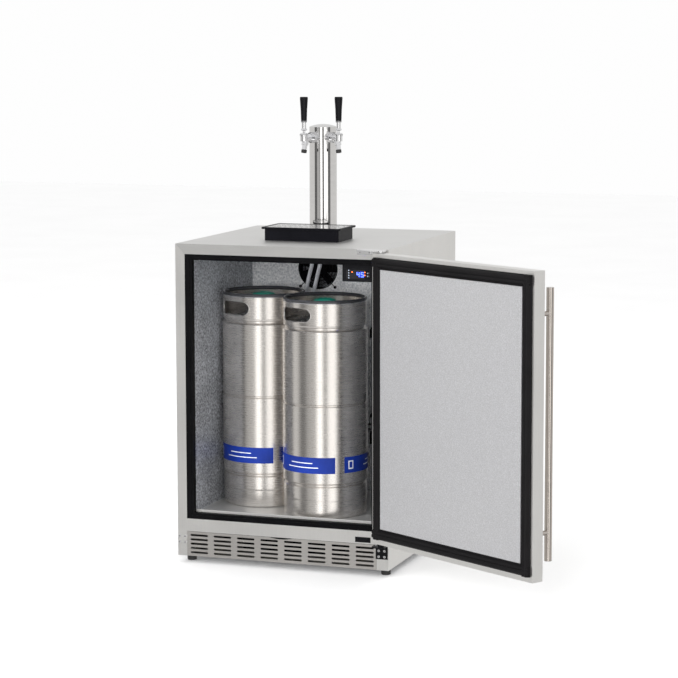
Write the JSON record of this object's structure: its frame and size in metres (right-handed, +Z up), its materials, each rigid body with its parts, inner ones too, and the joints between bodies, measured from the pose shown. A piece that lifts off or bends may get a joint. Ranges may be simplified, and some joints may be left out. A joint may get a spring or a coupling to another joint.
{
  "type": "kegerator",
  "caption": "Undercounter beer dispenser: steel refrigerated cabinet with an open hinged door, kegs inside, a two-faucet draft tower and a drip tray on top.",
  "frame": {"origin": "on the floor, under the middle of the cabinet's footprint", "axes": "+Z up, +X to the cabinet's right seen from the front, -Y out of the front"},
  "size_m": [1.1216, 0.9753, 1.27],
  "materials": {
    "stainless": "satin",
    "grille_steel": "satin",
    "chrome": "polished",
    "galvanised": "satin",
    "aluminium": "satin",
    "black_plastic": "satin",
    "white_plastic": "satin",
    "liner_sheet": "satin",
    "gasket_rubber": "matte",
    "foam": "matte",
    "black_paint": "gloss",
    "copper": "satin",
    "keg_steel": "satin",
    "valve_green": "satin",
    "hose_grey": "satin",
    "handle_black": "gloss"
  },
  "bodies": {
    "cabinet": {"left_side_panel": "stainless", "right_side_panel": "stainless", "top_panel": "stainless", "back_panel": "galvanised", "base_pan": "galvanised", "insulation": "foam", "inner_liner": "liner_sheet", "floor_sheet": "stainless", "evaporator_cover": "liner_sheet", "breaker_frame": "black_plastic", "bottom_rail": "stainless", "kick_grille": "grille_steel", "top_hinge": "chrome", "bottom_hinge": "black_paint", "screws": "chrome", "switch_housing": "black_plastic", "controller_housing": "black_plastic", "evaporator_coil": "aluminium", "fan_frames": "black_plastic", "fan_guard": "black_paint", "compressor": "black_paint", "condenser": "galvanised", "refrigerant_pipes": "copper", "drain_pan": "black_plastic", "power_inlet": "black_plastic", "gas_line_grommet": "gasket_rubber", "tower_column": "chrome", "tower_cap": "chrome", "faucet_shanks": "chrome", "faucet_bodies": "chrome", "beer_line_left": "hose_grey", "beer_line_right": "hose_grey", "line_fittings": "chrome"},
    "door": {"door_skin": "stainless", "door_foam": "foam", "door_liner": "liner_sheet", "door_gasket": "gasket_rubber", "door_handle": "chrome", "hinge_bushes": "white_plastic"},
    "tap_left": {"tap_lever_left": "chrome", "tap_handle_left": "handle_black"},
    "tap_right": {"tap_lever_right": "chrome", "tap_handle_right": "handle_black"},
    "tray": {"drip_tray": "black_plastic"},
    "grate": {"drip_grate": "chrome"},
    "evaporator_fan": {"evaporator_fan_rotor": "black_plastic"},
    "condenser_fan": {"condenser_fan_rotor": "black_plastic"},
    "rocker": {"power_rocker": "black_plastic"},
    "up_key": {"key_up": "white_plastic"},
    "down_key": {"key_down": "white_plastic"},
    "left_keg": {"keg_left": "keg_steel", "keg_chimes_left": "keg_steel", "keg_valve_left": "valve_green"},
    "right_keg": {"keg_right": "keg_steel", "keg_chimes_right": "keg_steel", "keg_valve_right": "valve_green"},
    "foot_fl": {"foot_front_left": "black_plastic"},
    "foot_fr": {"foot_front_right": "black_plastic"},
    "foot_bl": {"foot_back_left": "black_plastic"},
    "foot_br": {"foot_back_right": "black_plastic"}
  },
  "joints": [
    {"name": "door_hinge", "type": "hinge", "parent": "cabinet", "child": "door", "pos_m": [0.292, -0.3376, 0.1025], "axis": [0, 0, 1], "range_deg": [-149, 0]},
    {"name": "tap_left_pull", "type": "hinge", "parent": "cabinet", "child": "tap_left", "pos_m": [-0.02483, -0.05111, 1.166], "axis": [0.9613, -0.2756, 0], "range_deg": [0, 35]},
    {"name": "tap_right_pull", "type": "hinge", "parent": "cabinet", "child": "tap_right", "pos_m": [0.06696, -0.02479, 1.166], "axis": [0.6691, 0.7431, 0], "range_deg": [0, 35]},
    {"name": "tray_lift", "type": "slide", "parent": "cabinet", "child": "tray", "axis": [0, 0, 1], "range_m": [0, 0.06]},
    {"name": "grate_lift", "type": "slide", "parent": "tray", "child": "grate", "axis": [0, 0, 1], "range_m": [0, 0.03]},
    {"name": "evaporator_fan_spin", "type": "hinge", "parent": "cabinet", "child": "evaporator_fan", "pos_m": [-0.066, 0.1742, 0.773], "axis": [0, -1, 0], "continuous": true},
    {"name": "condenser_fan_spin", "type": "hinge", "parent": "cabinet", "child": "condenser_fan", "pos_m": [-0.221, 0.2565, 0.0705], "axis": [1, 0, 0], "continuous": true},
    {"name": "rocker_press", "type": "hinge", "parent": "cabinet", "child": "rocker", "pos_m": [0.232, -0.303, 0.1], "axis": [0, 0, 1], "range_deg": [0, 12]},
    {"name": "key_up_press", "type": "slide", "parent": "cabinet", "child": "up_key", "axis": [0, 1, 0], "range_m": [0, 0.0008], "stiffness_N_per_m": 500},
    {"name": "key_down_press", "type": "slide", "parent": "cabinet", "child": "down_key", "axis": [0, 1, 0], "range_m": [0, 0.0008], "stiffness_N_per_m": 500},
    {"name": "keg_left_lift", "type": "slide", "parent": "cabinet", "child": "left_keg", "axis": [0, 0, 1], "range_m": [0, 0.07]},
    {"name": "keg_right_lift", "type": "slide", "parent": "cabinet", "child": "right_keg", "axis": [0, 0, 1], "range_m": [0, 0.07]},
    {"name": "foot_front_left_screw", "type": "slide", "parent": "cabinet", "child": "foot_fl", "axis": [0, 0, -1], "range_m": [0, 0.012]},
    {"name": "foot_front_right_screw", "type": "slide", "parent": "cabinet", "child": "foot_fr", "axis": [0, 0, -1], "range_m": [0, 0.012]},
    {"name": "foot_back_left_screw", "type": "slide", "parent": "cabinet", "child": "foot_bl", "axis": [0, 0, -1], "range_m": [0, 0.012]},
    {"name": "foot_back_right_screw", "type": "slide", "parent": "cabinet", "child": "foot_br", "axis": [0, 0, -1], "range_m": [0, 0.012]}
  ]
}
